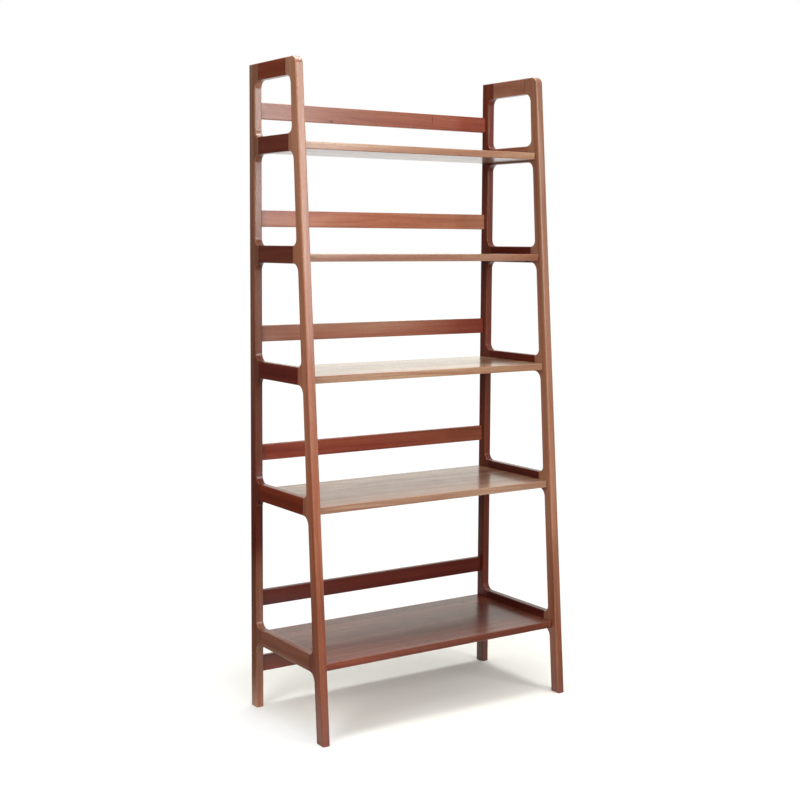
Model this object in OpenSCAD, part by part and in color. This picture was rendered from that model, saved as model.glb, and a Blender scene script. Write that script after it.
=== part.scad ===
// Five-shelf ladder shelf: two open side frames, five shelves and six back rails.
// The back face stands upright and the front stiles lean back, so each shelf is
// shallower than the one below. Origin: centre of the footprint, on the floor.
// +X right, -Y front, +Z up.

/* [Overall] */
// Width across the outer faces of the side frames
overall_w = 838; // [600:1:1100]
// Depth of a side frame at the floor
floor_d = 407; // [330:1:520]
// Depth of a side frame at its top
top_d = 262; // [215:1:325]

/* [Clear heights in a side frame] */
// Floor to the underside of rung 1
leg_clear = 188; // [160:1:260]
// Rung 1 to rung 2
bay_1 = 371; // [220:1:460]
// Rung 2 to rung 3
bay_2 = 301; // [220:1:460]
// Rung 3 to rung 4
bay_3 = 276; // [210:1:460]
// Rung 4 to rung 5
bay_4 = 251; // [200:1:460]
// Rung 5 to the top rail: the hand hole
bay_5 = 154; // [150:1:300]

/* [Side frames] */
// Thickness of a side frame
frame_t = 24; // [20:1:32]
// Width of a rear stile
rear_w = 32; // [27:1:44]
// Width of a front stile, measured level
front_w = 33; // [27:1:44]
// Height of a rung
rung_h = 48; // [40:1:62]
// Height of the top rail
top_rail_h = 47; // [40:1:60]
// Length of the flared ear between a stile and a rung's end
ear_len = 22; // [16:1:30]
// Radius of the top front corner
top_corner_r = 22; // [8:1:30]

/* [Shelves] */
// Thickness of a shelf
shelf_t = 20; // [17:1:25]
// Underside of a shelf above the underside of its rungs
shelf_lift = 6; // [0:1:12]
// Front edge of a shelf behind the front face of the stiles
shelf_setback = 16; // [0:1:30]
// Back edge of a shelf in front of the back face of the stiles
shelf_back_inset = 1; // [0:1:6]

/* [Back rails] */
// Height of a back rail
rail_h = 46; // [38:1:60]
// Thickness of a back rail
rail_t = 16; // [15:1:18]
// Front face of a back rail, from the back face of the stiles
rail_front = 19; // [18:1:24]
// Floor to the underside of the low rail
low_rail_z = 100; // [20:1:110]
// Shelf 1 to its back rail
rail_gap_1 = 79; // [50:1:110]
// Shelf 2 to its back rail
rail_gap_2 = 83; // [50:1:110]
// Shelf 3 to its back rail
rail_gap_3 = 74; // [50:1:110]
// Shelf 4 to its back rail
rail_gap_4 = 74; // [50:1:110]
// Shelf 5 to its back rail
rail_gap_5 = 74; // [50:1:110]

/* [Wooden dowels] */
// Diameter of a dowel
dowel_d = 8; // [6:1:8]
// Length of a dowel in a side frame
frame_dowel_len = 40; // [30:1:50]
// Length of a dowel in a shelf end or a rail end
end_dowel_len = 30; // [24:1:34]
// Depth of the end dowels in the side frame
end_dowel_in = 12; // [8:1:14]
// Distance between the two dowels of a rung's end
rung_dowel_pitch = 24; // [18:1:28]
// Distance between the two dowels of a shelf's end
shelf_dowel_pitch = 36; // [30:1:40]

/* [Cam fittings] */
// Diameter of a cam
cam_d = 14.8; // [12:0.1:15.2]
// Joint face to the centre of the cam
cam_reach = 34; // [30:1:40]
// Rung's end to the nearest cam bolt
cam_inset = 30; // [26:1:34]
// Distance between the cam bolt and the dowel of a rail's end
rail_pitch = 22; // [18:1:24]
// Diameter of the cam bolt's thread
thread_d = 6; // [5:0.5:7]
// Length of the cam bolt's thread
thread_len = 11; // [8:1:13]

/* [Hidden] */
$fn = 64;

dowel_clear = 0.1;      // radial play round a dowel
dowel_end_clear = 1;    // room at each end of a dowel
cam_clear = 0.1;        // radial play round a cam
cam_wall = 3.8;         // cam metal beyond the bolt's axis
cam_end_clear = 0.4;    // room behind a cam
cam_sink = 0.2;         // cam face below the surface round it
bolt_clear = 0.5;       // radial play round the bolt's shank
thread_clear = 0.05;    // radial play round the thread
thread_end_clear = 1;   // room past the thread's tip
shank_d = 6;            // bolt between the joint and the neck
neck_d = 4.4;           // bolt where the cam grips it
head_d = 7;
head_len = 2.6;
head_reach = 3.2;       // head's far face past the cam's centre
grip_clear = 0.3;       // play between the bolt and the cam
driver_w = 1.6;         // cross recess in a cam's face
driver_len = 9;
driver_deep = 2.4;
cut = 1;                // how far a cutter passes a face

leg_top = leg_clear;
rung_zs = [
    leg_top,
    leg_top + rung_h + bay_1,
    leg_top + 2 * rung_h + bay_1 + bay_2,
    leg_top + 3 * rung_h + bay_1 + bay_2 + bay_3,
    leg_top + 4 * rung_h + bay_1 + bay_2 + bay_3 + bay_4
];
top_rail_z = rung_zs[4] + rung_h + bay_5;
overall_h = top_rail_z + top_rail_h;
rail_gaps = [rail_gap_1, rail_gap_2, rail_gap_3, rail_gap_4, rail_gap_5];

back_y = floor_d / 2;
foot_y = -floor_d / 2;
outer_x = overall_w / 2;
inner_x = outer_x - frame_t;
mid_x = outer_x - frame_t / 2;
lean = atan((floor_d - top_d) / overall_h);

// Front face, and the two long edges that face into the side frame
function front_y(z) = foot_y + tan(lean) * z;
function front_edge_y(z) = front_y(z) + front_w;
rear_edge_y = back_y - rear_w;

// Butt joints between a rung (or the top rail) and the ears
rear_joint_y = rear_edge_y - ear_len;
function front_joint_y(z, h) = front_edge_y(z + h / 2) + ear_len;

// Shelves and back rails by number, counted up from the floor
function shelf_z(i) = rung_zs[i - 1] + shelf_lift;
function shelf_mid_z(i) = shelf_z(i) + shelf_t / 2;
function shelf_front_y(i) = front_y(shelf_mid_z(i)) + shelf_setback;
shelf_back_y = back_y - shelf_back_inset;
function rail_z(i) = i == 1 ? low_rail_z : shelf_z(i - 1) + shelf_t + rail_gaps[i - 2];
function rail_mid_z(i) = rail_z(i) + rail_h / 2;
rail_mid_y = back_y - rail_front + rail_t / 2;

// Where the fittings of shelf i stand along its ends
function shelf_bolt_ys(i) =
    [rear_joint_y - cam_inset, front_joint_y(rung_zs[i - 1], rung_h) + cam_inset];
function shelf_dowel_ys(i) =
    let (m = (shelf_bolt_ys(i)[0] + shelf_bolt_ys(i)[1]) / 2)
    [m - shelf_dowel_pitch / 2, m + shelf_dowel_pitch / 2];
function rail_bolt_z(i) = rail_mid_z(i) + rail_pitch / 2;
function rail_dowel_z(i) = rail_mid_z(i) - rail_pitch / 2;

walnut = "#6b3a26";
walnut_dark = "#54291c";
beech = "#d9bd8f";
zinc = "#b9babc";

// ---- helpers ----

// Draws its children on the left side, or mirrored on the right
module on_side(side) {
    if (side == "left") children();
    else mirror([1, 0, 0]) children();
}

// Draws its children at both ends of the width
module both_sides() {
    for (m = [0, 1]) mirror([m, 0, 0]) children();
}

// Extrudes an outline drawn in Y and Z through the left frame's thickness
module frame_plate() {
    translate([-outer_x, 0, 0]) rotate([90, 0, 90]) linear_extrude(frame_t) children();
}

// A rod along +X, from x = 0
module rod_x(d, len) {
    rotate([0, 90, 0]) cylinder(h = len, d = d);
}

// A rod along Y, centred on y = 0
module rod_y(d, len) {
    rotate([90, 0, 0]) cylinder(h = len, d = d, center = true);
}

// ---- side frames ----

// The flared ear of a stile: dir is 1 where it points back and -1 where it points
// forward, slope is the stile's lean. Its two fillets run out at the joint line.
module ear_2d(dir, slope, edge_b, edge_t, joint_y, z_b, z_t, fillet_above) {
    len_b = abs(joint_y - edge_b);
    len_t = abs(joint_y - edge_t);
    r_b = len_b * tan((90 + slope) / 2);
    r_t = len_t * tan((90 - slope) / 2);
    along = [sin(slope), cos(slope)];
    end_b = [edge_b, z_b] - len_b * along;
    end_t = fillet_above ? [edge_t, z_t] + len_t * along : [edge_t, z_t];
    root = [dir * min(rear_w, front_w) / 2, 0];
    difference() {
        polygon([end_b, [joint_y, z_b], [joint_y, z_t], end_t, end_t - root, end_b - root]);
        translate([joint_y, z_b - r_b]) circle(r_b);
        if (fillet_above) translate([joint_y, z_t + r_t]) circle(r_t);
    }
}

module front_ear_2d(z, h, fillet_above = true) {
    ear_2d(1, lean, front_edge_y(z), front_edge_y(z + h), front_joint_y(z, h),
        z, z + h, fillet_above);
}

module rear_ear_2d(z, h, fillet_above = true) {
    ear_2d(-1, 0, rear_edge_y, rear_edge_y, rear_joint_y, z, z + h, fillet_above);
}

// What is cut away outside the round top front corner
module top_corner_cut_2d() {
    corner = [front_y(overall_h), overall_h];
    reach = top_corner_r * tan((90 - lean) / 2);
    down = [-sin(lean), -cos(lean)];
    out = [-cos(lean), sin(lean)];
    face_end = corner + reach * down;
    top_end = corner + [reach, 0];
    difference() {
        polygon([face_end, face_end + cut * out, corner + [-cut, cut], top_end + [0, cut], top_end]);
        translate(top_end - [0, top_corner_r]) circle(top_corner_r);
    }
}

module front_stile_2d() {
    difference() {
        union() {
            polygon([
                [front_y(0), 0], [front_edge_y(0), 0],
                [front_edge_y(overall_h), overall_h], [front_y(overall_h), overall_h]
            ]);
            for (z = rung_zs) front_ear_2d(z, rung_h);
            front_ear_2d(top_rail_z, top_rail_h, fillet_above = false);
        }
        top_corner_cut_2d();
    }
}

module rear_stile_blank() {
    union() {
        translate([-outer_x, rear_edge_y, 0]) cube([frame_t, rear_w, overall_h]);
        for (z = rung_zs) frame_plate() rear_ear_2d(z, rung_h);
        frame_plate() rear_ear_2d(top_rail_z, top_rail_h, fillet_above = false);
    }
}

// Heights of the two dowels in the end of a rung or top rail
function end_dowel_zs(z, h) =
    [z + (h - rung_dowel_pitch) / 2, z + (h + rung_dowel_pitch) / 2];

// Rods at every dowel of the butt joints at one end of the rungs and the top rail
module frame_rods(rear, d, len) {
    levels = concat([for (z = rung_zs) [z, rung_h]], [[top_rail_z, top_rail_h]]);
    for (level = levels) {
        joint_y = rear ? rear_joint_y : front_joint_y(level[0], level[1]);
        for (z = end_dowel_zs(level[0], level[1]))
            translate([-mid_x, joint_y, z]) rod_y(d, len);
    }
}

module frame_dowel_bores(rear) {
    frame_rods(rear, dowel_d + 2 * dowel_clear, frame_dowel_len + 2 * dowel_end_clear);
}

// Holes in the left inner face for a cam bolt's thread and for an end dowel
module thread_hole() {
    depth = thread_len + thread_end_clear;
    translate([-depth, 0, 0]) rod_x(thread_d + 2 * thread_clear, depth + cut);
}

module end_dowel_hole() {
    depth = end_dowel_in + dowel_end_clear;
    translate([-depth, 0, 0]) rod_x(dowel_d + 2 * dowel_clear, depth + cut);
}

module front_stile(side) {
    color(walnut) on_side(side) difference() {
        frame_plate() front_stile_2d();
        frame_dowel_bores(false);
    }
}

module rear_stile(side) {
    color(walnut) on_side(side) difference() {
        rear_stile_blank();
        frame_dowel_bores(true);
        for (i = [1:6]) {
            translate([-inner_x, rail_mid_y, rail_bolt_z(i)]) thread_hole();
            translate([-inner_x, rail_mid_y, rail_dowel_z(i)]) end_dowel_hole();
        }
    }
}

// The plain bar between two ears, for a rung or the top rail
module cross_bar(z, h) {
    y = front_joint_y(z, h);
    difference() {
        translate([-outer_x, y, z]) cube([frame_t, rear_joint_y - y, h]);
        frame_dowel_bores(true);
        frame_dowel_bores(false);
    }
}

module top_rail(side) {
    color(walnut) on_side(side) cross_bar(top_rail_z, top_rail_h);
}

module rung(side, i) {
    color(walnut_dark) on_side(side) difference() {
        cross_bar(rung_zs[i - 1], rung_h);
        for (y = shelf_bolt_ys(i)) translate([-inner_x, y, shelf_mid_z(i)]) thread_hole();
        for (y = shelf_dowel_ys(i)) translate([-inner_x, y, shelf_mid_z(i)]) end_dowel_hole();
    }
}

// ---- shelves and back rails ----

// Bores in the end of a panel: along +X from the left end, cam bore along -Z
module panel_bolt_bores(panel_t) {
    cam_bore_depth = panel_t / 2 + cam_wall + cam_end_clear;
    translate([-cut, 0, 0]) rod_x(shank_d + 2 * bolt_clear, cam_reach + cut);
    translate([cam_reach, 0, -panel_t / 2 - cut])
        cylinder(h = cam_bore_depth + cut, d = cam_d + 2 * cam_clear);
}

module panel_dowel_bore() {
    depth = end_dowel_len - end_dowel_in + dowel_end_clear;
    translate([-cut, 0, 0]) rod_x(dowel_d + 2 * dowel_clear, depth + cut);
}

module shelf(i) {
    front = shelf_front_y(i);
    color(walnut) difference() {
        translate([-inner_x, front, shelf_z(i)])
            cube([2 * inner_x, shelf_back_y - front, shelf_t]);
        both_sides() {
            for (y = shelf_bolt_ys(i))
                translate([-inner_x, y, shelf_mid_z(i)]) panel_bolt_bores(shelf_t);
            for (y = shelf_dowel_ys(i))
                translate([-inner_x, y, shelf_mid_z(i)]) panel_dowel_bore();
        }
    }
}

// Turns a fitting drawn for a shelf so that its cam opens at a rail's back face
module rail_turn() {
    rotate([90, 0, 0]) children();
}

module back_rail(i) {
    color(walnut_dark) difference() {
        translate([-inner_x, rail_mid_y - rail_t / 2, rail_z(i)])
            cube([2 * inner_x, rail_t, rail_h]);
        both_sides() {
            translate([-inner_x, rail_mid_y, rail_bolt_z(i)]) rail_turn() panel_bolt_bores(rail_t);
            translate([-inner_x, rail_mid_y, rail_dowel_z(i)]) panel_dowel_bore();
        }
    }
}

// ---- dowels and cam fittings ----

module frame_dowels(side) {
    color(beech) on_side(side) {
        frame_rods(true, dowel_d, frame_dowel_len);
        frame_rods(false, dowel_d, frame_dowel_len);
    }
}

module end_dowel() {
    translate([-end_dowel_in, 0, 0]) rod_x(dowel_d, end_dowel_len);
}

// Cam lock: its face looks along -Z, and its slot grips the head of the bolt
module cam(panel_t) {
    head_room = head_d + 2 * grip_clear;
    neck_room = neck_d + 2 * grip_clear;
    face_z = -panel_t / 2 + cam_sink;
    translate([cam_reach, 0, 0]) difference() {
        translate([0, 0, face_z]) cylinder(h = cam_wall - face_z, d = cam_d);
        // pocket for the head, and the window by which it enters
        translate([head_reach - head_len - grip_clear, 0, 0])
            rod_x(head_room, head_len + 2 * grip_clear);
        translate([head_reach - head_len / 2, cam_d / 4, 0]) rod_y(head_room, cam_d / 2 + cut);
        // slot for the neck, open at the rim
        translate([-cam_d / 2 - cut, 0, 0]) rod_x(neck_room, cam_d / 2 + cut + head_reach - head_len);
        for (turn = [0, 90]) rotate([0, 0, turn])
            translate([-driver_len / 2, -driver_w / 2, face_z - cut])
                cube([driver_len, driver_w, driver_deep + cut]);
    }
}

// Cam bolt: thread in the frame, shank in the panel, head in the cam
module cam_bolt() {
    head_x = cam_reach + head_reach - head_len;
    translate([-thread_len, 0, 0]) rod_x(thread_d, thread_len);
    rod_x(shank_d, cam_reach - cam_d / 2 - grip_clear);
    rod_x(neck_d, head_x + head_len / 2);
    translate([head_x, 0, 0]) rod_x(head_d, head_len);
}

module at_shelf_bolts() {
    both_sides() for (i = [1:5], y = shelf_bolt_ys(i))
        translate([-inner_x, y, shelf_mid_z(i)]) children();
}

module at_rail_bolts() {
    both_sides() for (i = [1:6])
        translate([-inner_x, rail_mid_y, rail_bolt_z(i)]) rail_turn() children();
}

module shelf_dowels() {
    color(beech) both_sides() for (i = [1:5], y = shelf_dowel_ys(i))
        translate([-inner_x, y, shelf_mid_z(i)]) end_dowel();
}

module rail_dowels() {
    color(beech) both_sides() for (i = [1:6])
        translate([-inner_x, rail_mid_y, rail_dowel_z(i)]) end_dowel();
}

module shelf_cams() {
    color(zinc) at_shelf_bolts() cam(shelf_t);
}

module shelf_cam_bolts() {
    color(zinc) at_shelf_bolts() cam_bolt();
}

module rail_cams() {
    color(zinc) at_rail_bolts() cam(rail_t);
}

module rail_cam_bolts() {
    color(zinc) at_rail_bolts() cam_bolt();
}

front_stile("left");  // left_front_stile
rear_stile("left");  // left_rear_stile
top_rail("left");  // left_top_rail
rung("left", 1);  // left_rung_1
rung("left", 2);  // left_rung_2
rung("left", 3);  // left_rung_3
rung("left", 4);  // left_rung_4
rung("left", 5);  // left_rung_5
front_stile("right");  // right_front_stile
rear_stile("right");  // right_rear_stile
top_rail("right");  // right_top_rail
rung("right", 1);  // right_rung_1
rung("right", 2);  // right_rung_2
rung("right", 3);  // right_rung_3
rung("right", 4);  // right_rung_4
rung("right", 5);  // right_rung_5
shelf(1);  // shelf_1
shelf(2);  // shelf_2
shelf(3);  // shelf_3
shelf(4);  // shelf_4
shelf(5);  // shelf_5
back_rail(1);  // back_rail_1
back_rail(2);  // back_rail_2
back_rail(3);  // back_rail_3
back_rail(4);  // back_rail_4
back_rail(5);  // back_rail_5
back_rail(6);  // back_rail_6
frame_dowels("left");  // left_frame_dowels
frame_dowels("right");  // right_frame_dowels
shelf_dowels();
shelf_cams();
shelf_cam_bolts();
rail_dowels();
rail_cams();
rail_cam_bolts();
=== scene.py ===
"""Ladder shelf in satin walnut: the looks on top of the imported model.

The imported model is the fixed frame.  Every walnut piece is taken from its own
node, its arrises are eased, and it gets a walnut cut from its own log.  The
dowels and the knock-down fittings keep their shapes and get beech, zinc and
plated steel.
"""

import logging
import math
import random
from dataclasses import dataclass, field
from enum import Enum

import bmesh
import bpy
from mathutils import Matrix, Vector


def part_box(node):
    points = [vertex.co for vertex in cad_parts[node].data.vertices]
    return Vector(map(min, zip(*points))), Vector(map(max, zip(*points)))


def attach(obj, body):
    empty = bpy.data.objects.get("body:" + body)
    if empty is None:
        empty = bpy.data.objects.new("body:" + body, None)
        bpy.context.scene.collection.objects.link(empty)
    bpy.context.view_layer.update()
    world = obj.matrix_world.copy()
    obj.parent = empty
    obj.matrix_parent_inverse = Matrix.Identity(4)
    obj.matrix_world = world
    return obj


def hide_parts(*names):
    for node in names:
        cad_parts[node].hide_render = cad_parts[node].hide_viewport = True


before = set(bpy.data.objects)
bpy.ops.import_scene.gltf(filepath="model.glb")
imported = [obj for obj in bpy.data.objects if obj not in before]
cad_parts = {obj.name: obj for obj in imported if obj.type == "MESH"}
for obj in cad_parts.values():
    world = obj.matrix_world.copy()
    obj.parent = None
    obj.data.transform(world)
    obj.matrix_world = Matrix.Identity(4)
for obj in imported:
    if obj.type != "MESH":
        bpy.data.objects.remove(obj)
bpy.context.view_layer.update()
ROOT = "root"

# Vertices nearer than this are one, and faces flatter than this are one.
WELD = 1e-5
FLAT_TURN = math.radians(0.1)
# An edge that turns more than this is an arris; one that turns more than that shades sharp.
ARRIS_TURN = math.radians(30)
SHARP_TURN = math.radians(35)
# How near a point lies to a plane to be on it, and a direction to an axis to be along or across it.
ON_PLANE = 1e-4
ALONG_AXIS = 0.999
SQUARE_TO_AXIS = 0.99999
ACROSS_AXIS = 0.1

log = logging.getLogger("ladder_shelf")

Triple = tuple[float, float, float]
Colour = Triple
Rgba = tuple[float, float, float, float]
Socket = bpy.types.NodeSocket
Edges = list[bmesh.types.BMEdge]


class Tone(Enum):
    """A board's tone, as shares of plain walnut's red, green and blue: real stain and painted light
    and shade.
    """

    PLAIN = (1.0, 1.0, 1.0)
    PALEST = (1.6, 2.8, 3.0)
    OLIVE = (1.4, 2.1, 2.3)
    PALE = (1.1, 1.5, 1.7)
    DRAB = (0.8, 1.1, 1.3)
    HONEY = (1.3, 1.3, 0.95)
    RUST = (1.1, 0.7, 0.35)
    BROWN = (0.75, 0.7, 0.65)
    RED = (0.7, 0.4, 0.35)
    DARK = (0.45, 0.3, 0.3)
    OXBLOOD = (0.3, 0.12, 0.1)


# A board's tone, stain and painted light and shade together, at its near end (bottom, front or
# left), further in, and at its far end.
TonesAndShade = tuple[Tone, Tone, Tone]


def even(tone: Tone) -> TonesAndShade:
    """One tone from end to end."""
    return (tone, tone, tone)


def rgba(colour: Colour) -> Rgba:
    """Adds a full alpha to a colour.

    Args:
        colour: Red, green and blue, linear.

    Returns:
        The colour with an alpha of one.
    """
    return (*colour, 1.0)


BLACK = rgba((0.0, 0.0, 0.0))
WHITE = rgba((1.0, 1.0, 1.0))


# ---- Node trees ----


class Wiring:
    """A node tree being wired, with short ways to place nodes."""

    def __init__(self, tree: bpy.types.NodeTree) -> None:
        """Takes the tree that the nodes go into.

        Args:
            tree: A material's or a group's node tree.
        """
        self.tree = tree
        self.count = 0

    def place(self, kind: str, **settings: object) -> bpy.types.Node:
        """Places a node and sets its options.

        Args:
            kind: The node's type name.
            **settings: Options of the node, by name.

        Returns:
            The new node.
        """
        node = self.tree.nodes.new(kind)
        node.location = (180 * (self.count % 12), -220 * (self.count // 12))
        self.count += 1
        for name, value in settings.items():
            setattr(node, name, value)
        return node

    def where(self, space: str = "Object") -> Socket:
        """The place being shaded.

        Args:
            space: The name of the coordinates.

        Returns:
            The place.
        """
        return self.place("ShaderNodeTexCoord").outputs[space]

    def feed(self, socket: Socket, value: object) -> None:
        """Links a socket, or writes a plain value into it.

        Args:
            socket: The input to feed.
            value: Another node's output, or a number, vector or colour.
        """
        if isinstance(value, Socket):
            self.tree.links.new(value, socket)
        elif value is not None:
            socket.default_value = value

    def fill(self, node: bpy.types.Node, **values: object) -> bpy.types.Node:
        """Feeds a node's inputs by name.

        Args:
            node: The node.
            **values: What each input gets, by its name with underscores for spaces.

        Returns:
            The same node.
        """
        for name, value in values.items():
            self.feed(node.inputs[name.replace("_", " ")], value)
        return node

    def math(self, operation: str, a: object, b: object = None, clamp: bool = False) -> Socket:
        """One step of arithmetic.

        Args:
            operation: The name of the operation.
            a: The first value.
            b: The second value, where the operation has one.
            clamp: Whether the result is kept between zero and one.

        Returns:
            The result.
        """
        node = self.place("ShaderNodeMath", operation=operation, use_clamp=clamp)
        self.feed(node.inputs[0], a)
        self.feed(node.inputs[1], b)
        return node.outputs[0]

    def vector_math(self, operation: str, a: object, b: object = None) -> Socket:
        """One step of vector arithmetic.

        Args:
            operation: The name of the operation.
            a: The first vector.
            b: The second vector, where the operation has one.

        Returns:
            The vector, or the number where a length or a dot product is asked for.
        """
        node = self.place("ShaderNodeVectorMath", operation=operation)
        self.feed(node.inputs[0], a)
        self.feed(node.inputs[1], b)
        return node.outputs["Value" if operation in ("LENGTH", "DOT_PRODUCT") else "Vector"]

    def noise(
        self,
        vector: object,
        fineness: float | Triple,
        detail: float,
        roughness: float = 0.5,
        coloured: bool = False,
    ) -> Socket:
        """A noise pattern.

        Args:
            vector: Where it is read.
            fineness: Its fineness, or three of them for X, Y and Z.
            detail: How many finer layers it has.
            roughness: How strong the finer layers are.
            coloured: Whether three values are wanted in place of one.

        Returns:
            The pattern, around one half.
        """
        if isinstance(fineness, tuple):
            vector, fineness = self.vector_math("MULTIPLY", vector, fineness), 1.0
        node = self.place("ShaderNodeTexNoise", noise_dimensions="3D")
        self.fill(node, Vector=vector, Scale=fineness, Detail=detail, Roughness=roughness)
        return node.outputs["Color" if coloured else "Fac"]

    def swing(self, value: object, amount: object) -> Socket:
        """Turns a value around one half into a swing about zero.

        Args:
            value: The value.
            amount: How wide the swing is.

        Returns:
            The swing.
        """
        return self.math("MULTIPLY", self.math("SUBTRACT", value, 0.5), amount)

    def fit(
        self,
        value: object,
        low: object,
        high: object,
        to_low: object = 0.0,
        to_high: object = 1.0,
        smooth: bool = False,
    ) -> Socket:
        """Carries one range of values over to another.

        Args:
            value: The value.
            low: The value that becomes to_low.
            high: The value that becomes to_high.
            to_low: The result's lower end.
            to_high: The result's upper end.
            smooth: Whether the change eases in and out.

        Returns:
            The carried value, kept inside the new range.
        """
        node = self.place(
            "ShaderNodeMapRange",
            interpolation_type="SMOOTHSTEP" if smooth else "LINEAR",
            clamp=True,
        )
        for index, item in enumerate((value, low, high, to_low, to_high)):
            self.feed(node.inputs[index], item)
        return node.outputs[0]

    def mix(self, factor: object, a: object, b: object, blend: str = "MIX") -> Socket:
        """Mixes two colours.

        Args:
            factor: The share of the second colour.
            a: The first colour.
            b: The second colour.
            blend: How the second is laid over the first.

        Returns:
            The mixed colour.
        """
        node = self.place("ShaderNodeMix", data_type="RGBA", blend_type=blend)
        self.feed(node.inputs[0], factor)
        self.feed(node.inputs[6], a)
        self.feed(node.inputs[7], b)
        return node.outputs[2]

    def moved(self, vector: object, turn: Triple, shift: Triple = (0.0, 0.0, 0.0)) -> Socket:
        """Turns a place about the axes, then shifts it.

        Args:
            vector: The place.
            turn: Angles about X, Y and Z.
            shift: How far it is shifted.

        Returns:
            The moved place.
        """
        node = self.place("ShaderNodeMapping", vector_type="POINT")
        return self.fill(node, Vector=vector, Rotation=turn, Location=shift).outputs[0]

    def split(self, vector: object) -> tuple[Socket, ...]:
        """Splits a vector.

        Args:
            vector: The vector.

        Returns:
            Its three parts.
        """
        node = self.place("ShaderNodeSeparateXYZ")
        self.feed(node.inputs[0], vector)
        return tuple(node.outputs)

    def join(self, x: object, y: object, z: object) -> Socket:
        """Joins three values into a vector.

        Args:
            x: The first part.
            y: The second part.
            z: The third part.

        Returns:
            The vector.
        """
        node = self.place("ShaderNodeCombineXYZ")
        for socket, item in zip(node.inputs, (x, y, z)):
            self.feed(socket, item)
        return node.outputs[0]

    def use(self, group: bpy.types.NodeTree, **values: object) -> bpy.types.Node:
        """Places a group with its own values.

        Args:
            group: The group.
            **values: Its inputs, with underscores for spaces.

        Returns:
            The group's node.
        """
        node = self.place("ShaderNodeGroup")
        node.node_tree = group
        return self.fill(node, **values)

    def bump(self, height: object, strength: float, distance: float) -> Socket:
        """Relief on the surface.

        Args:
            height: The relief.
            strength: How much of it shows.
            distance: How deep it is, in metres.

        Returns:
            The turned normal.
        """
        node = self.place("ShaderNodeBump")
        self.fill(node, Height=height, Strength=strength, Distance=distance)
        return node.outputs["Normal"]

    def surface(self, **values: object) -> None:
        """Ends a material with a principled shader.

        Args:
            **values: The shader's inputs, with underscores for spaces.
        """
        shader = self.fill(self.place("ShaderNodeBsdfPrincipled"), **values)
        self.fill(self.place("ShaderNodeOutputMaterial"), Surface=shader.outputs[0])


def new_material(name: str) -> tuple[bpy.types.Material, Wiring]:
    """Starts a material with nothing in its node tree.

    Args:
        name: The material's name.

    Returns:
        The material and its wiring.
    """
    made = bpy.data.materials.new(name)
    made.use_nodes = True
    made.node_tree.nodes.clear()
    return made, Wiring(made.node_tree)


class SocketKind(Enum):
    """What a group's socket carries."""

    VALUE = "NodeSocketFloat"
    VECTOR = "NodeSocketVector"
    COLOUR = "NodeSocketColor"


def new_group(
    name: str,
    inputs: dict[str, tuple[SocketKind, object]],
    outputs: dict[str, SocketKind],
) -> tuple[Wiring, bpy.types.Node, bpy.types.Node]:
    """Starts a shader node group.

    Args:
        name: The group's name.
        inputs: Each input's kind and starting value, by name.
        outputs: Each output's kind, by name.

    Returns:
        The wiring, the node that gives the inputs, and the node that takes the outputs.
    """
    tree = bpy.data.node_groups.new(name, "ShaderNodeTree")
    for title, (kind, value) in inputs.items():
        socket = tree.interface.new_socket(title, in_out="INPUT", socket_type=kind.value)
        socket.default_value = value
    for title, kind in outputs.items():
        tree.interface.new_socket(title, in_out="OUTPUT", socket_type=kind.value)
    wiring = Wiring(tree)
    return wiring, wiring.place("NodeGroupInput"), wiring.place("NodeGroupOutput")


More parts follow.
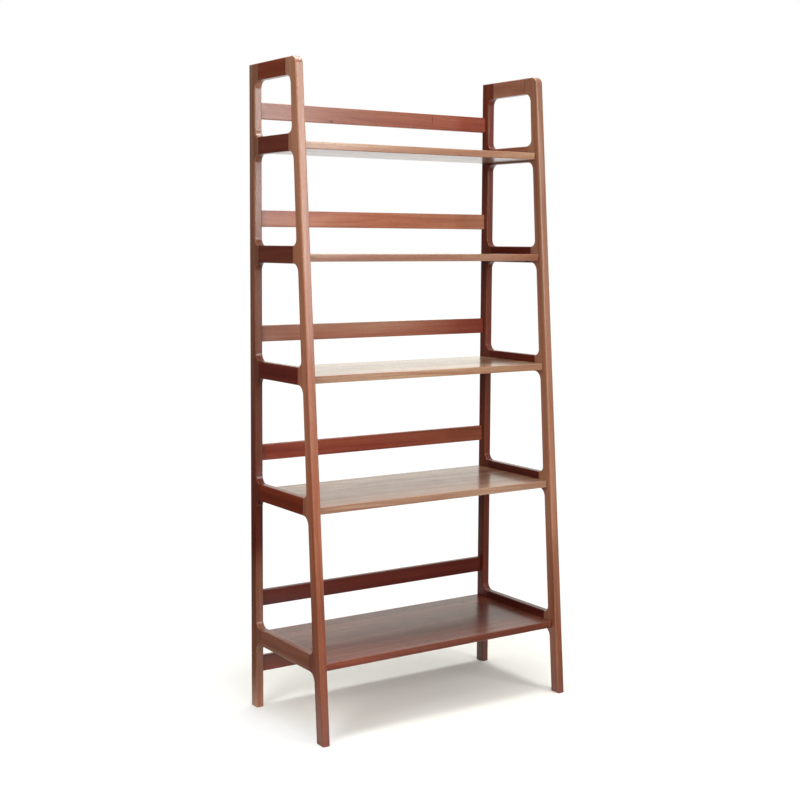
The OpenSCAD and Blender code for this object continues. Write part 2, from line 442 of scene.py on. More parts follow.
class Effects:
    """The node groups that the finishes share, each built once."""

    def __init__(self) -> None:
        """Builds the groups."""
        self.grain = self._grain()
        self.staves = self._staves()
        self.lacquer = self._lacquer()
        self.edge_wear = self._edge_wear()
        self.handling = self._handling()

    @staticmethod
    def _grain() -> bpy.types.NodeTree:
        """Walnut figure: growth rings, streaks, fibres and pores along X.

        Returns:
            The group.
        """
        w, i, o = new_group(
            "walnut_grain",
            {
                "Vector": (SocketKind.VECTOR, (0, 0, 0)),
                "Ring Spacing": (SocketKind.VALUE, 0.009),
                "Ring Contrast": (SocketKind.VALUE, 0.5),
                "Streak Contrast": (SocketKind.VALUE, 0.6),
                "Fibre Contrast": (SocketKind.VALUE, 0.4),
            },
            {
                "Figure": SocketKind.VALUE,
                "Redness": SocketKind.VALUE,
                "Pores": SocketKind.VALUE,
                "Height": SocketKind.VALUE,
            },
        )
        place = i.outputs["Vector"]
        # The log wanders a little along its length.
        wander = w.noise(place, (1.6, 7.0, 7.0), 2.0, 0.45, coloured=True)
        wander = w.vector_math("SUBTRACT", wander, (0.5, 0.5, 0.5))
        wander = w.vector_math("MULTIPLY", wander, (0.0, 0.034, 0.034))
        bent = w.vector_math("ADD", place, wander)
        across = w.vector_math("MULTIPLY", bent, (0.0, 1.0, 1.0))
        radius = w.vector_math("LENGTH", across)
        ring = w.math("DIVIDE", radius, i.outputs["Ring Spacing"])
        uneven = w.noise(bent, (0.5, 26.0, 26.0), 1.0)
        ring = w.math("ADD", ring, w.math("MULTIPLY", uneven, 2.2))
        share = w.math("FRACT", ring)
        # Early wood rises slowly to the dark late wood, which stops short.
        rise = w.math("POWER", share, 2.2)
        stop = w.fit(share, 0.86, 1.0, 1.0, 0.0, smooth=True)
        late = w.math("MULTIPLY", rise, stop)
        late = w.math("MULTIPLY", late, i.outputs["Ring Contrast"])
        # Broad streaks, then finer ones, drawn out along the board.
        broad = w.noise(bent, (1.1, 34.0, 34.0), 2.0)
        middle = w.noise(bent, (2.6, 130.0, 130.0), 3.0, 0.6)
        streak = w.math("ADD", w.math("MULTIPLY", broad, 0.62), w.math("MULTIPLY", middle, 0.38))
        streak = w.fit(streak, 0.33, 0.67, -0.5, 0.5)
        streak = w.math("MULTIPLY", streak, i.outputs["Streak Contrast"])
        fibre = w.noise(place, (9.0, 900.0, 900.0), 2.0, 0.7)
        figure = w.math("SUBTRACT", 0.62, w.math("MULTIPLY", late, 0.8))
        figure = w.math("ADD", figure, streak)
        figure = w.math("ADD", figure, w.swing(fibre, i.outputs["Fibre Contrast"]), clamp=True)
        # Pores are short dark dashes, crowded in the early wood.
        dash = w.noise(place, (75.0, 2300.0, 2300.0), 0.0)
        crowd = w.math("ADD", dash, w.math("MULTIPLY", w.math("SUBTRACT", 1.0, share), 0.07))
        pores = w.fit(crowd, 0.70, 0.78)
        red = w.fit(w.noise(bent, (1.9, 21.0, 21.0), 2.0), 0.34, 0.66)
        height = w.math("SUBTRACT", w.math("MULTIPLY", fibre, 0.35), pores)
        w.fill(o, Figure=figure, Redness=red, Pores=pores, Height=height)
        return w.tree

    @staticmethod
    def _staves() -> bpy.types.NodeTree:
        """Boards glued edge to edge, side by side along Y.

        Returns:
            The group.
        """
        w, i, o = new_group(
            "glued_staves",
            {
                "Vector": (SocketKind.VECTOR, (0, 0, 0)),
                "Width": (SocketKind.VALUE, 0.07),
                "Seed": (SocketKind.VALUE, 0.0),
            },
            {
                "Vector": SocketKind.VECTOR,
                "Tone": SocketKind.VALUE,
                "Joint": SocketKind.VALUE,
            },
        )
        across = w.math("DIVIDE", w.split(i.outputs["Vector"])[1], i.outputs["Width"])
        # Neighbouring staves differ in width, so the count drifts across the board.
        drift = w.math("SINE", w.math("ADD", w.math("MULTIPLY", across, 1.9), i.outputs["Seed"]))
        across = w.math("ADD", across, w.math("MULTIPLY", drift, 0.22))
        number = w.math("FLOOR", across)
        share = w.math("FRACT", across)
        lottery = w.place("ShaderNodeTexWhiteNoise", noise_dimensions="2D")
        w.fill(lottery, Vector=w.join(number, i.outputs["Seed"], 0.0))
        moved = w.vector_math("MULTIPLY", lottery.outputs["Color"], (9.0, 0.05, 0.05))
        offset = w.join(0.0, w.math("MULTIPLY", number, 0.31), w.math("MULTIPLY", number, 0.17))
        vector = w.vector_math("ADD", w.vector_math("ADD", i.outputs["Vector"], moved), offset)
        near = w.math("ABSOLUTE", w.math("SUBTRACT", share, 0.5))
        joint = w.fit(near, 0.4935, 0.4985)
        w.fill(o, Vector=vector, Tone=lottery.outputs["Value"], Joint=joint)
        return w.tree

    @staticmethod
    def _lacquer() -> bpy.types.NodeTree:
        """How even the satin lacquer is: a faint orange peel and dull patches.

        Returns:
            The group.
        """
        w, i, o = new_group(
            "satin_lacquer",
            {
                "Vector": (SocketKind.VECTOR, (0, 0, 0)),
                "Roughness": (SocketKind.VALUE, 0.35),
                "Pores": (SocketKind.VALUE, 0.0),
                "Height": (SocketKind.VALUE, 0.0),
            },
            {"Roughness": SocketKind.VALUE, "Height": SocketKind.VALUE},
        )
        patch = w.noise(i.outputs["Vector"], 14.0, 3.0, 0.6)
        rubbed = w.noise(i.outputs["Vector"], (30.0, 260.0, 260.0), 2.0)
        spread = w.math("ADD", w.swing(patch, 0.16), w.swing(rubbed, 0.10))
        rough = w.math("ADD", i.outputs["Roughness"], spread)
        rough = w.math("ADD", rough, w.math("MULTIPLY", i.outputs["Pores"], 0.25), clamp=True)
        peel = w.noise(i.outputs["Vector"], 420.0, 1.0)
        height = w.math("ADD", i.outputs["Height"], w.math("MULTIPLY", peel, 0.35))
        w.fill(o, Roughness=rough, Height=height)
        return w.tree

    @staticmethod
    def _edge_wear() -> bpy.types.NodeTree:
        """Arrises where sanding and handling let the pale wood through.

        Returns:
            The group.
        """
        w, i, o = new_group(
            "edge_wear",
            {
                "Vector": (SocketKind.VECTOR, (0, 0, 0)),
                "Arris": (SocketKind.VALUE, 0.0),
                "Base": (SocketKind.COLOUR, (0.2, 0.1, 0.05, 1)),
                "Worn": (SocketKind.COLOUR, (0.4, 0.2, 0.1, 1)),
                "Amount": (SocketKind.VALUE, 0.4),
                "Roughness": (SocketKind.VALUE, 0.35),
            },
            {"Color": SocketKind.COLOUR, "Roughness": SocketKind.VALUE},
        )
        broken = w.noise(i.outputs["Vector"], 55.0, 3.0, 0.65)
        patchy = w.fit(broken, 0.36, 0.62, 0.25, 1.0, smooth=True)
        mask = w.math("MULTIPLY", i.outputs["Arris"], patchy)
        mask = w.math("MULTIPLY", mask, i.outputs["Amount"], clamp=True)
        colour = w.mix(mask, i.outputs["Base"], i.outputs["Worn"])
        rough = w.math("ADD", i.outputs["Roughness"], w.math("MULTIPLY", mask, 0.06))
        w.fill(o, Color=colour, Roughness=rough)
        return w.tree

    @staticmethod
    def _handling() -> bpy.types.NodeTree:
        """Fine marks on a metal fitting: machining lines and rubbed spots.

        Returns:
            The group.
        """
        w, i, o = new_group(
            "metal_marks",
            {
                "Vector": (SocketKind.VECTOR, (0, 0, 0)),
                "Bright": (SocketKind.COLOUR, (0.6, 0.6, 0.6, 1)),
                "Dull": (SocketKind.COLOUR, (0.3, 0.3, 0.3, 1)),
                "Roughness": (SocketKind.VALUE, 0.3),
            },
            {
                "Color": SocketKind.COLOUR,
                "Roughness": SocketKind.VALUE,
                "Height": SocketKind.VALUE,
            },
        )
        cloud = w.noise(i.outputs["Vector"], 160.0, 4.0, 0.6)
        lines = w.noise(i.outputs["Vector"], (600.0, 600.0, 5200.0), 1.0)
        share = w.fit(w.math("ADD", cloud, w.math("MULTIPLY", lines, 0.4)), 0.5, 0.9)
        colour = w.mix(share, i.outputs["Dull"], i.outputs["Bright"])
        rough = w.math("ADD", i.outputs["Roughness"], w.swing(cloud, 0.3), clamp=True)
        w.fill(o, Color=colour, Roughness=rough, Height=lines)
        return w.tree


# ---- Finishes ----


class Grain(Enum):
    """Which way a piece's grain runs."""

    ACROSS = "x"
    DEEP = "y"
    UPRIGHT = "z"

    def turn(self, lean: float) -> Triple:
        """The turn that brings the grain onto X.

        Args:
            lean: How far an upright piece leans back, in radians.

        Returns:
            Rotation angles about X, Y and Z.
        """
        if self is Grain.DEEP:
            return (0.0, 0.0, -math.pi / 2)
        if self is Grain.UPRIGHT:
            return (lean, math.pi / 2, 0.0)
        return (0.0, 0.0, 0.0)


# The colour of the painted shade in the corners where a piece meets its neighbour.
SHADED_CORNER: Colour = (0.12, 0.10, 0.09)


@dataclass(frozen=True)
class Knot:
    """A small dark knot or pin, placed from the middle of the piece."""

    along: float
    up: float
    length: float
    height: float

    def mask(self, w: Wiring, along: Socket) -> Socket:
        """Where the knot is.

        Args:
            w: The material's wiring.
            along: The place on the piece, with its grain on X.

        Returns:
            One inside the knot, fading to zero round it.
        """
        from_it = w.vector_math("SUBTRACT", along, (self.along, 0.0, self.up))
        scaled = w.vector_math("MULTIPLY", from_it, (2 / self.length, 0.0, 2 / self.height))
        return w.fit(w.vector_math("LENGTH", scaled), 0.6, 1.4, 1.0, 0.0, smooth=True)


@dataclass(frozen=True)
class WalnutFinish:
    """Walnut stained a warm red brown under a satin lacquer."""

    name: str
    dark: Colour
    mid: Colour
    light: Colour
    red: Colour
    worn: Colour
    ring_spacing: float = 0.014
    ring_contrast: float = 0.22
    streak_contrast: float = 0.6
    fibre_contrast: float = 0.3
    roughness: float = 0.36
    coat: float = 0.4
    coat_roughness: float = 0.16
    wear: float = 0.2
    stave_width: float = 0.0
    bump: float = 0.00018
    tone_turn: float = 0.0
    # How strong and how wide the painted shade is at each end of the piece.
    corner_shade: float = 0.0
    corner_shade_width: float = 0.005

    def material(self, effects: Effects, piece: "Timber") -> bpy.types.Material:
        """Makes the walnut of one piece.

        Args:
            effects: The shared node groups.
            piece: The piece.

        Returns:
            The material.
        """
        dice = random.Random(piece.seed)
        made, w = new_material(piece.node + "_walnut")
        low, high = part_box(piece.node)
        half = getattr(high - low, piece.grain.value) / 2
        centred = w.vector_math("SUBTRACT", w.where(), tuple((low + high) / 2))
        along = w.moved(centred, piece.grain.turn(piece.lean))
        cut: object = along
        joint: object = 0.0
        stave_tone: object = 0.5
        if self.stave_width:
            first = dice.uniform(1, 9)
            staves = w.use(effects.staves, Vector=along, Width=self.stave_width, Seed=first)
            cut, stave_tone, joint = staves.outputs
        in_log = self._log(w, dice, cut)
        figure = w.use(
            effects.grain,
            Vector=in_log,
            Ring_Spacing=self.ring_spacing * dice.uniform(0.85, 1.2),
            Ring_Contrast=self.ring_contrast,
            Streak_Contrast=self.streak_contrast,
            Fibre_Contrast=self.fibre_contrast,
        )
        shade = w.math("ADD", figure.outputs["Figure"], w.swing(stave_tone, 0.3), clamp=True)
        colour = w.mix(w.fit(shade, 0.0, 0.5), rgba(self.dark), rgba(self.mid))
        colour = w.mix(w.fit(shade, 0.5, 1.0), colour, rgba(self.light))
        for share, amount, other in (
            (figure.outputs["Redness"], 0.4, self.red),
            (figure.outputs["Pores"], 0.55, self.dark),
            (joint, 0.55, self.dark),
        ):
            colour = w.mix(w.math("MULTIPLY", share, amount), colour, rgba(other))
        lacquer = w.use(
            effects.lacquer,
            Vector=along,
            Roughness=self.roughness,
            Pores=figure.outputs["Pores"],
            Height=figure.outputs["Height"],
        )
        arris = w.place("ShaderNodeAttribute", attribute_name="arris")
        wear = w.use(
            effects.edge_wear,
            Vector=along,
            Arris=arris.outputs["Fac"],
            Base=colour,
            Worn=rgba(self.worn),
            Amount=self.wear,
            Roughness=lacquer.outputs["Roughness"],
        )
        tone_and_light = self._stain_and_light(w, along, half, piece)
        w.surface(
            Base_Color=w.mix(1.0, wear.outputs["Color"], tone_and_light, "MULTIPLY"),
            Roughness=wear.outputs["Roughness"],
            Normal=w.bump(lacquer.outputs["Height"], 0.35, self.bump),
            Coat_Weight=self.coat,
            Coat_Roughness=self.coat_roughness,
        )
        return made

    @staticmethod
    def _log(w: Wiring, dice: random.Random, cut: object) -> Socket:
        """Lays a board in its log: off the heart, and a degree or two askew to it.

        Args:
            w: The material's wiring.
            dice: The piece's own dice.
            cut: The place on the board.

        Returns:
            The place in the log.
        """
        angle = dice.uniform(0, 2 * math.pi)
        off = dice.uniform(0.05, 0.12)
        start = (dice.uniform(-20, 20), off * math.cos(angle), off * math.sin(angle))
        roll = dice.uniform(0, math.pi)
        askew = [math.radians(dice.uniform(-1.6, 1.6)) for _ in range(2)]
        return w.moved(cut, (roll, *askew), start)

    def _stain_and_light(self, w: Wiring, along: Socket, half: float, piece: "Timber") -> Socket:
        """The board's tone along its length, stain and painted light and shade together, the
        painted shade in its corners, and its knots.

        Args:
            w: The material's wiring.
            along: The place on the piece, with its grain on X.
            half: Half the piece's length along its grain.
            piece: The piece.

        Returns:
            The colour that the walnut is multiplied by.
        """
        drift = w.noise(along, 3.0, 1.0)
        place = w.math("ADD", w.split(along)[0], w.swing(drift, 0.6 * half))
        turn_at = half * self.tone_turn
        # The tones are stain and painted light and shade: darker where the piece stands in shade,
        # lighter where it is lit.
        near, further, far = (rgba(tone.value) for tone in TONES_AND_SHADE[piece.node])
        tone_and_light = w.mix(w.fit(place, -half, turn_at), near, further)
        tone_and_light = w.mix(w.fit(place, turn_at, half), tone_and_light, far)
        # Painted shade darkens the ends of the piece, in the corner where it meets its neighbour.
        from_middle = w.math("ABSOLUTE", w.split(along)[0])
        in_corner = w.fit(from_middle, half - self.corner_shade_width, half, smooth=True)
        tone_and_light = w.mix(w.math("MULTIPLY", in_corner, self.corner_shade), tone_and_light, rgba(SHADED_CORNER))
        for knot in piece.knots:
            dark = w.math("MULTIPLY", knot.mask(w, along), 0.8)
            tone_and_light = w.mix(dark, tone_and_light, rgba(Tone.OXBLOOD.value))
        return tone_and_light


@dataclass(frozen=True)
class BeechFinish:
    """Plain turned beech, as dowels are sold."""

    name: str = "beech_dowel"
    light: Colour = (0.62, 0.42, 0.25)
    dark: Colour = (0.42, 0.25, 0.13)
    fleck: Colour = (0.30, 0.16, 0.08)

    def material(self, effects: Effects) -> bpy.types.Material:
        """Makes the beech.

        Args:
            effects: The shared node groups.

        Returns:
            The material.
        """
        made, w = new_material(self.name)
        where = w.where()
        grain = w.use(
            effects.grain,
            Vector=where,
            Ring_Spacing=0.003,
            Ring_Contrast=0.3,
            Streak_Contrast=0.3,
            Fibre_Contrast=0.5,
        )
        colour = w.mix(grain.outputs["Figure"], rgba(self.dark), rgba(self.light))
        ray = w.fit(w.noise(where, (500.0, 1600.0, 1600.0), 0.0), 0.62, 0.72)
        w.surface(
            Base_Color=w.mix(w.math("MULTIPLY", ray, 0.6), colour, rgba(self.fleck)),
            Roughness=w.fit(grain.outputs["Figure"], 0.0, 1.0, 0.75, 0.6),
            Normal=w.bump(grain.outputs["Height"], 0.4, 0.0003),
        )
        return made


@dataclass(frozen=True)
class MetalFinish:
    """A metal fitting: cast or turned, with a light plating."""

    name: str
    bright: Colour
    dull: Colour
    roughness: float

    def material(self, effects: Effects) -> bpy.types.Material:
        """Makes the metal.

        Args:
            effects: The shared node groups.

        Returns:
            The material.
        """
        made, w = new_material(self.name)
        marks = w.use(
            effects.handling,
            Vector=w.where(),
            Bright=rgba(self.bright),
            Dull=rgba(self.dull),
            Roughness=self.roughness,
        )
        w.surface(
            Base_Color=marks.outputs["Color"],
            Roughness=marks.outputs["Roughness"],
            Metallic=1.0,
            Normal=w.bump(marks.outputs["Height"], 0.2, 0.0001),
        )
        return made


STILE_WALNUT = WalnutFinish(
    name="walnut_frame",
    dark=(0.13, 0.033, 0.014),
    mid=(0.31, 0.100, 0.048),
    light=(0.47, 0.20, 0.115),
    red=(0.27, 0.062, 0.026),
    worn=(0.48, 0.22, 0.13),
    tone_turn=-0.45,
)
RUNG_WALNUT = WalnutFinish(
    name="walnut_rung",
    dark=(0.070, 0.013, 0.007),
    mid=(0.140, 0.030, 0.017),
    light=(0.24, 0.070, 0.040),
    red=(0.15, 0.022, 0.011),
    worn=(0.34, 0.13, 0.08),
    corner_shade=0.7,
    corner_shade_width=0.004,
)
SHELF_WALNUT = WalnutFinish(
    name="walnut_shelf",
    dark=(0.10, 0.026, 0.014),
    mid=(0.26, 0.090, 0.047),
    light=(0.48, 0.24, 0.14),
    red=(0.21, 0.045, 0.020),
    worn=(0.50, 0.25, 0.15),
    stave_width=0.072,
    roughness=0.31,
    coat_roughness=0.12,
    ring_contrast=0.28,
    corner_shade=0.8,
)
RAIL_WALNUT = WalnutFinish(
    name="walnut_rail",
    dark=(0.12, 0.022, 0.010),
    mid=(0.28, 0.080, 0.040),
    light=(0.44, 0.19, 0.105),
    red=(0.26, 0.050, 0.022),
    worn=(0.44, 0.20, 0.12),
    corner_shade=0.6,
)
# Each piece's tones: partly real stain that differs from board to board, partly painted light and
# shade, such as the dark lowest right rungs and back_rail_2 in the shade of the shelves, the darker
# feet of the front stiles, and the pale lowest left rung by the bright floor.
TONES_AND_SHADE: dict[str, TonesAndShade] = {
    "left_front_stile": (Tone.DARK, Tone.PLAIN, Tone.PALE),
    "left_rear_stile": (Tone.PALE, Tone.OXBLOOD, Tone.DRAB),
    "left_rung_1": even(Tone.PALEST),
    "left_rung_2": even(Tone.RUST),
    "left_rung_3": even(Tone.RED),
    "left_rung_4": even(Tone.BROWN),
    "left_rung_5": even(Tone.BROWN),
    "left_top_rail": even(Tone.HONEY),
    "right_front_stile": (Tone.DARK, Tone.PALE, Tone.DRAB),
    "right_rear_stile": (Tone.OXBLOOD, Tone.DARK, Tone.DARK),
    "right_rung_1": even(Tone.DARK),
    "right_rung_2": even(Tone.DARK),
    "right_rung_3": even(Tone.RED),
    "right_rung_4": even(Tone.RED),
    "right_rung_5": even(Tone.PALEST),
    "right_top_rail": even(Tone.PALEST),
    "shelf_1": (Tone.RED, Tone.DARK, Tone.DARK),
    "shelf_2": even(Tone.PALE),
    "shelf_3": (Tone.PALE, Tone.OLIVE, Tone.OLIVE),
    "shelf_4": (Tone.PALE, Tone.PALE, Tone.BROWN),
    "shelf_5": even(Tone.OLIVE),
    "back_rail_1": (Tone.RED, Tone.DARK, Tone.DARK),
    "back_rail_2": even(Tone.OXBLOOD),
    "back_rail_3": (Tone.RED, Tone.RED, Tone.BROWN),
    "back_rail_4": (Tone.DRAB, Tone.PALE, Tone.RED),
    "back_rail_5": (Tone.PLAIN, Tone.HONEY, Tone.OLIVE),
    "back_rail_6": (Tone.DRAB, Tone.BROWN, Tone.RED),
}
BEECH = BeechFinish()
ZINC = MetalFinish("zinc_cam", (0.70, 0.71, 0.72), (0.45, 0.46, 0.48), 0.42)
PLATED = MetalFinish("plated_bolt", (0.78, 0.77, 0.72), (0.50, 0.49, 0.45), 0.28)


# ---- Walnut pieces ----


@dataclass
class Timber:
    """One piece of walnut, cut as its node says, with its arrises eased.

    Its seed chooses where in the log it was cut, and its lean is in radians.
    """

    node: str
    finish: WalnutFinish
    grain: Grain
    seed: int
    arris: float = 0.003
    arris_steps: int = 4
    lean: float = 0.0
    long_edge: float = 0.1
    knots: tuple[Knot, ...] = ()

    def build(self, effects: Effects) -> bpy.types.Object:
        """Builds and dresses the piece.

        Args:
            effects: The shared node groups.

        Returns:
            The finished piece, riding on the shelf's one body.
        """
        mesh = self._mesh()
        piece = bpy.data.objects.new(self.node + "_piece", mesh)
        bpy.context.scene.collection.objects.link(piece)
        piece.modifiers.new("flat_faces", "WEIGHTED_NORMAL").keep_sharp = True
        mesh.materials.append(self.finish.material(effects, self))
        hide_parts(self.node)
        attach(piece, ROOT)
        log.info("%s: %d faces", piece.name, len(mesh.polygons))
        return piece

    def _mesh(self) -> bpy.types.Mesh:
        """Takes the node's shape and eases its arrises.

        Returns:
            The piece's mesh, smooth but for its sharp edges.
        """
        bm = bmesh.new()
        bm.from_mesh(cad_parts[self.node].data)
        bmesh.ops.remove_doubles(bm, verts=bm.verts, dist=WELD)
        bmesh.ops.dissolve_limit(
            bm,
            angle_limit=FLAT_TURN,
            use_dissolve_boundaries=False,
            verts=bm.verts,
            edges=bm.edges,
            delimit=set(),
        )
        bmesh.ops.recalc_face_normals(bm, faces=bm.faces)
        self._ease(bm)
        mesh = bpy.data.meshes.new(self.node + "_piece")
        bm.to_mesh(mesh)
        bm.free()
        mesh.shade_smooth()
        mesh.set_sharp_from_angle(angle=SHARP_TURN)
        return mesh

    def _ease(self, bm: bmesh.types.BMesh) -> None:
        """Rounds the arrises and marks them for the wear.

        Args:
            bm: The piece's mesh.
        """
        rounded = bmesh.ops.bevel(
            bm,
            geom=self._arrises(bm),
            offset=self.arris,
            offset_type="OFFSET",
            segments=self.arris_steps,
            profile=0.5,
            affect="EDGES",
            clamp_overlap=False,
            material=-1,
        )
        mark = bm.verts.layers.float.new("arris")
        round_faces = set(rounded["faces"])
        for vert in bm.verts:
            faces = set(vert.link_faces)
            vert[mark] = 1.0 if faces and faces <= round_faces else 0.0

    def _arrises(self, bm: bmesh.types.BMesh) -> Edges:
        """Finds the edges that the maker rounds over.

        Args:
            bm: The piece's mesh.

        Returns:
            The long edges that run along X.
        """
        return [
            edge
            for edge in bm.edges
            if edge.calc_length() > self.long_edge
            and abs((edge.verts[0].co - edge.verts[1].co).normalized().x) > ALONG_AXIS
            and edge.calc_face_angle(0.0) > ARRIS_TURN
        ]


@dataclass
class FramePiece(Timber):
    """A stile, rung or top rail of a side frame: rounded round both flat sides."""

    bore: float = 0.03

    def _arrises(self, bm: bmesh.types.BMesh) -> Edges:
        """Finds the rim of each flat side, and leaves out joints and bores.

        Args:
            bm: The piece's mesh.

        Returns:
            The edges to round.
        """
        low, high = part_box(self.node)
        found = []
        for edge in bm.edges:
            if len(edge.link_faces) != 2 or edge.calc_face_angle(0.0) < ARRIS_TURN:
                continue
            sides = [f for f in edge.link_faces if abs(f.normal.x) > ALONG_AXIS]
            rims = [f for f in edge.link_faces if abs(f.normal.x) < ACROSS_AXIS]
            if len(sides) != 1 or len(rims) != 1:
                continue
            middle = (edge.verts[0].co + edge.verts[1].co) / 2
            outside = min(abs(middle.x - low.x), abs(middle.x - high.x)) <= ON_PLANE
            if outside and not self._joint(rims[0], low.y):
                found.append(edge)
        return self._long_runs(found)

    def _joint(self, face: bmesh.types.BMFace, front: float) -> bool:
        """Whether a face is glued to the next piece.

        Args:
            face: The face.
            front: How far back the piece's front is.

        Returns:
            True on the faces that meet a rung, a top rail or a stile.
        """
        if abs(face.normal.y) < SQUARE_TO_AXIS:
            return False
        if self.grain is Grain.DEEP:
            return True
        if self.lean:
            return face.normal.y > 0
        return abs(face.calc_center_median().y - front) < ON_PLANE

    def _long_runs(self, edges: Edges) -> Edges:
        """Keeps the edges that hang together over more than a bore's width.

        Args:
            edges: The edges found on the rims.

        Returns:
            Those in runs longer than a bore is wide.
        """
        left = set(edges)
        kept = []
        while left:
            run = [left.pop()]
            todo = list(run)
            while todo:
                for vert in todo.pop().verts:
                    for edge in vert.link_edges:
                        if edge in left:
                            left.remove(edge)
                            run.append(edge)
                            todo.append(edge)
            points = [vert.co for edge in run for vert in edge.verts]
            span = max((a - points[0]).length for a in points)
            if span > self.bore:
                kept += run
        return kept


class Hand(Enum):
    """Which side frame."""

    LEFT = "left"
    RIGHT = "right"


# Where each group of pieces starts counting its logs.
FRAME_SEEDS = {Hand.LEFT: 100, Hand.RIGHT: 200}
SHELF_SEED = 300
RAIL_SEED = 400


@dataclass
class SideFrame:
    """A side frame: a leaning front stile, an upright rear stile, five rungs and a top rail."""

    hand: Hand
    effects: Effects
    rungs: int = 5
    arris: float = 0.004

    def lean(self) -> float:
        """How far the front stile leans back.

        Returns:
            The angle from upright, in radians.
        """
        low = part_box(self.hand.value + "_rung_1")[0]
        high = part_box(self.hand.value + "_top_rail")[0]
        return math.atan2(high.y - low.y, high.z - low.z)

    def build(self) -> list[bpy.types.Object]:
        """Builds the frame's eight pieces.

        Returns:
            The pieces.
        """
        seed = FRAME_SEEDS[self.hand]
        stile, rail = (STILE_WALNUT, Grain.UPRIGHT), (RUNG_WALNUT, Grain.DEEP)
        cuts = [
            ("front_stile", *stile, seed + 1, self.lean()),
            ("rear_stile", *stile, seed + 2, 0.0),
            ("top_rail", *rail, seed + 3, 0.0),
        ]
        cuts += [(f"rung_{n}", *rail, seed + 10 + n, 0.0) for n in range(1, self.rungs + 1)]
        return [
            FramePiece(
                f"{self.hand.value}_{name}", finish, grain, number, self.arris, lean=lean
            ).build(self.effects)
            for name, finish, grain, number, lean in cuts
        ]


@dataclass
class Shelves:
    """The five shelf boards, each glued up from staves."""

    effects: Effects
    count: int = 5
    arris: float = 0.002

    def build(self) -> list[bpy.types.Object]:
        """Builds the boards.

        Returns:
            The boards, the lowest first.
        """
        return [
            Timber(
                f"shelf_{n}", SHELF_WALNUT, Grain.ACROSS, SHELF_SEED + n, self.arris
            ).build(self.effects)
            for n in range(1, self.count + 1)
        ]


@dataclass
class BackRails:
    """The six rails across the back."""

    effects: Effects
    count: int = 6
    arris: float = 0.0025
    top_knots: tuple[Knot, ...] = (
        Knot(along=-0.163, up=-0.018, length=0.012, height=0.007),
        Knot(along=0.193, up=0.006, length=0.004, height=0.026),
    )

    def build(self) -> list[bpy.types.Object]:
        """Builds the rails.

        Returns:
            The rails, the lowest first.
        """
        return [
            Timber(
                f"back_rail_{n}",
                RAIL_WALNUT,
                Grain.ACROSS,
                RAIL_SEED + n,
                self.arris,
                knots=self.top_knots if n == self.count else (),
            ).build(self.effects)
            for n in range(1, self.count + 1)
        ]


@dataclass
class Fittings:
    """Dowels, cams and bolts: their shapes stay, and each gets its finish."""

    effects: Effects
    dowels: tuple[str, ...] = (
        "left_frame_dowels",
        "right_frame_dowels",
        "shelf_dowels",
        "rail_dowels",
    )
    cams: tuple[str, ...] = ("shelf_cams", "rail_cams")
    bolts: tuple[str, ...] = ("shelf_cam_bolts", "rail_cam_bolts")

    def dress(self) -> None:
        """Gives every fitting its material."""
        for names, finish in ((self.dowels, BEECH), (self.cams, ZINC), (self.bolts, PLATED)):
            made = finish.material(self.effects)
            for name in names:
                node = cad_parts[name]
                node.data.materials.clear()
                node.data.materials.append(made)
                log.info("%s: %s", name, finish.name)


# ---- Studio ----


@dataclass
class Camera:
    """The camera, standing off the front left corner at chest height."""

    place: Triple = (-2.217, -3.256, 1.3405)
    yaw: float = 33.729
    pitch: float = -5.154
    roll: float = 0.332
    lens: float = 61.717
    sensor: float = 36.0
    shift_y: float = -0.04323
    sees_to: float = 100.0

    def build(self) -> bpy.types.Object:
        """Makes the camera and gives it to the scene.

        Returns:
            The camera.
        """
        yaw, pitch, roll = (math.radians(a) for a in (self.yaw, self.pitch, self.roll))
        flat = math.cos(pitch)
        ahead = Vector((math.sin(yaw) * flat, math.cos(yaw) * flat, math.sin(pitch)))
        level = Vector((math.cos(yaw), -math.sin(yaw), 0.0))
        upward = level.cross(ahead)
        right = math.cos(roll) * level + math.sin(roll) * upward
        up = -math.sin(roll) * level + math.cos(roll) * upward
        turn = Matrix((right, up, -ahead)).transposed().to_4x4()
        data = bpy.data.cameras.new("camera")
        data.sensor_width = self.sensor
        data.sensor_fit = "HORIZONTAL"
        data.lens = self.lens
        data.shift_y = self.shift_y
        data.clip_end = self.sees_to
        made = bpy.data.objects.new("camera", data)
        made.matrix_world = Matrix.Translation(self.place) @ turn
        bpy.context.scene.collection.objects.link(made)
        bpy.context.scene.camera = made
        return made


@dataclass
class Softbox:
    """A large soft light that looks at the shelf."""

    name: str
    place: Triple
    size: tuple[float, float]
    power: float
    colour: Colour = (1.0, 1.0, 1.0)
    aim: Triple = (0.0, 0.0, 0.9)
    mirrored: bool = True

    def build(self) -> bpy.types.Object:
        """Makes the light.

        Returns:
            The light.
        """
        data = bpy.data.lights.new(self.name, "AREA")
        data.shape = "RECTANGLE"
        data.size, data.size_y = self.size
        data.energy = self.power
        data.color = self.colour
        made = bpy.data.objects.new(self.name, data)
        made.location = self.place
        ahead = Vector(self.aim) - Vector(self.place)
        made.rotation_euler = ahead.to_track_quat("-Z", "Y").to_euler()
        made.visible_glossy = self.mirrored
        bpy.context.scene.collection.objects.link(made)
        return made


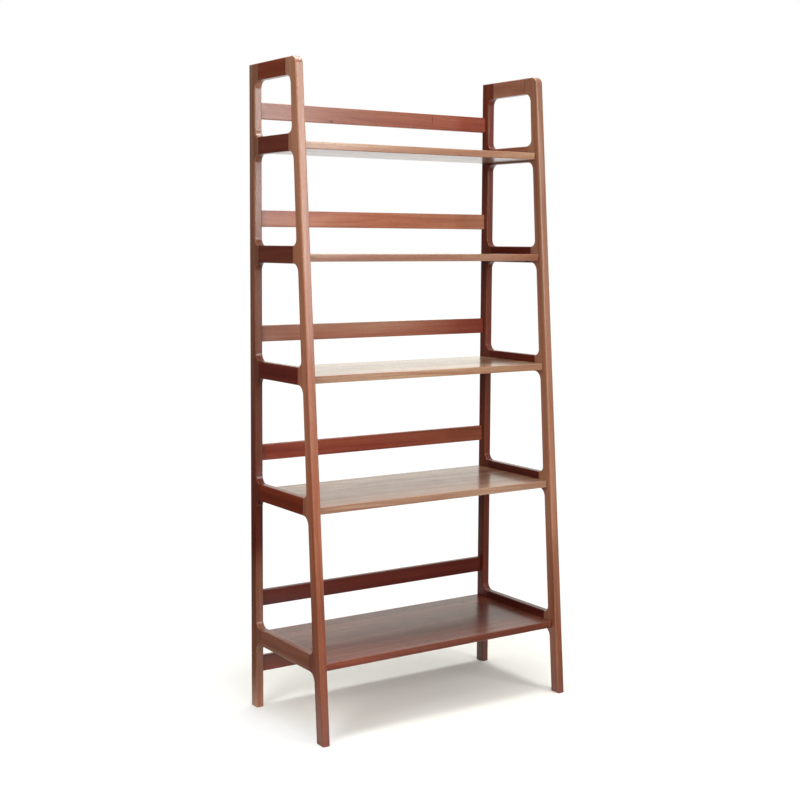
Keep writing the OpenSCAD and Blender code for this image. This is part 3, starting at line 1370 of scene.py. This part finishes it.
@dataclass
class Room:
    """The studio around the shelf: a white sweep behind it, brightest low down, and dark sides."""

    sweep_towards: float = 44.0
    sweep_low: float = 2.15
    sweep_high: float = 0.6
    ceiling: float = 0.2
    walls: float = 0.04
    tint: Colour = (1.0, 0.98, 0.90)
    seen: float = 1.0

    def facing(self, w: Wiring, towards: Socket) -> Socket:
        """How far a direction looks into the sweep.

        Args:
            w: The wiring.
            towards: The direction.

        Returns:
            One in the sweep, zero well away from it.
        """
        angle = math.radians(self.sweep_towards)
        into = (math.sin(angle), math.cos(angle), 0.0)
        return w.fit(w.vector_math("DOT_PRODUCT", towards, into), 0.5, 0.85, smooth=True)

    def build(self) -> bpy.types.World:
        """Makes the room and gives it to the scene.

        Returns:
            The world.
        """
        world = bpy.data.worlds.new("room")
        world.use_nodes = True
        world.node_tree.nodes.clear()
        w = Wiring(world.node_tree)
        towards = w.where("Generated")
        rise = w.split(towards)[2]
        level = w.fit(rise, 0.0, 0.28, self.sweep_low, self.sweep_high, smooth=True)
        sweep = w.math("MULTIPLY", self.facing(w, towards), level)
        ceiling = w.fit(rise, 0.3, 0.9, 0.0, self.ceiling, smooth=True)
        light = w.math("ADD", w.math("ADD", sweep, ceiling), self.walls)
        seen = w.place("ShaderNodeLightPath").outputs["Is Camera Ray"]
        strength = w.fit(seen, 0.0, 1.0, light, self.seen)
        back = w.place("ShaderNodeBackground")
        w.fill(back, Color=w.mix(seen, rgba(self.tint), WHITE), Strength=strength)
        w.fill(w.place("ShaderNodeOutputWorld"), Surface=back.outputs[0])
        bpy.context.scene.world = world
        return world


@dataclass
class Studio:
    """A pale floor in a studio, lit softly from above, from the front and from the left."""

    floor_half: float = 30.0
    floor_colour: Colour = (0.88, 0.88, 0.83)
    floor_roughness: float = 0.8
    mottle: float = 1.015
    shown: float = 1.12
    painted_to: float = 0.48
    white_from: float = 0.95
    patch: Triple = (0.2, 0.15, 0.0)
    patch_fades_by: float = 0.8
    bright_to: float = 0.38
    dim_from: float = 0.85
    bounce: float = 0.08
    glow: float = 0.03
    room: Room = field(default_factory=Room)
    lights: tuple[Softbox, ...] = (
        Softbox("top_softbox", (0.3, 0.1, 4.2), (2.2, 1.8), 130.0),
        Softbox("front_softbox", (1.25, -3.9, 2.3), (1.7, 2.0), 82.0),
        Softbox("front_fill", (-0.9, -4.3, 1.9), (2.4, 2.2), 108.0, mirrored=False),
        Softbox(
            "left_fill", (-2.4, -1.0, 1.6), (1.2, 1.8), 45.0, aim=(-0.4, 0.0, 1.0), mirrored=False
        ),
    )

    def build(self) -> None:
        """Makes the floor, the room and the lights."""
        self._floor()
        self.room.build()
        for light in self.lights:
            light.build()
        bpy.context.scene.view_settings.view_transform = "Standard"
        bpy.context.scene.view_settings.look = "None"

    def _floor(self) -> None:
        """Makes the floor, part of the stage."""
        bm = bmesh.new()
        bmesh.ops.create_grid(bm, x_segments=8, y_segments=8, size=self.floor_half)
        mesh = bpy.data.meshes.new("floor")
        bm.to_mesh(mesh)
        bm.free()
        floor = bpy.data.objects.new("floor", mesh)
        bpy.context.scene.collection.objects.link(floor)
        mesh.materials.append(self._floor_paint())

    def _floor_paint(self) -> bpy.types.Material:
        """Makes the paint: grey near the shelf, running out white into the sweep.

        Returns:
            The material, which the camera sees paler than the light does.
        """
        made, w = new_material("floor_paint")
        where = w.where()
        mottle = w.fit(w.noise(where, 3.0, 3.0), 0.3, 0.7)
        pale = tuple(min(1.0, part * self.mottle) for part in self.floor_colour)
        paint = w.mix(mottle, rgba(self.floor_colour), rgba(pale))
        out = w.vector_math("LENGTH", where)
        far = w.fit(out, self.painted_to, self.white_from, smooth=True)
        off = w.vector_math("LENGTH", w.vector_math("SUBTRACT", where, self.patch))
        shown_far = w.fit(off, self.painted_to, self.patch_fades_by, smooth=True)
        seen = w.place("ShaderNodeLightPath").outputs["Is Camera Ray"]
        sweep = self.room.facing(w, w.vector_math("NORMALIZE", where))
        hidden_glow = w.math("MULTIPLY", far, w.fit(sweep, 0.0, 1.0, self.glow, 1.0))
        hidden_share = w.fit(out, self.bright_to, self.dim_from, 1.0, self.bounce, smooth=True)
        hidden_kept = w.math("MULTIPLY", hidden_share, w.math("SUBTRACT", 1.0, far))
        kept = w.fit(seen, 0.0, 1.0, hidden_kept, w.math("SUBTRACT", 1.0, shown_far))
        level = w.math("MULTIPLY", kept, w.fit(seen, 0.0, 1.0, 1.0, self.shown))
        glow = w.fit(seen, 0.0, 1.0, hidden_glow, shown_far)
        w.surface(
            Base_Color=w.vector_math("MULTIPLY", paint, w.join(level, level, level)),
            Roughness=self.floor_roughness,
            Emission_Color=w.mix(glow, BLACK, WHITE),
            Emission_Strength=1.0,
        )
        return made


def main() -> None:
    """Builds the studio, then the shelf from the floor up."""
    logging.basicConfig(level=logging.INFO, format="%(name)s: %(message)s")
    Camera().build()
    Studio().build()
    effects = Effects()
    for hand in Hand:
        SideFrame(hand, effects).build()
    Shelves(effects).build()
    BackRails(effects).build()
    Fittings(effects).dress()


if __name__ == "__main__":
    main()
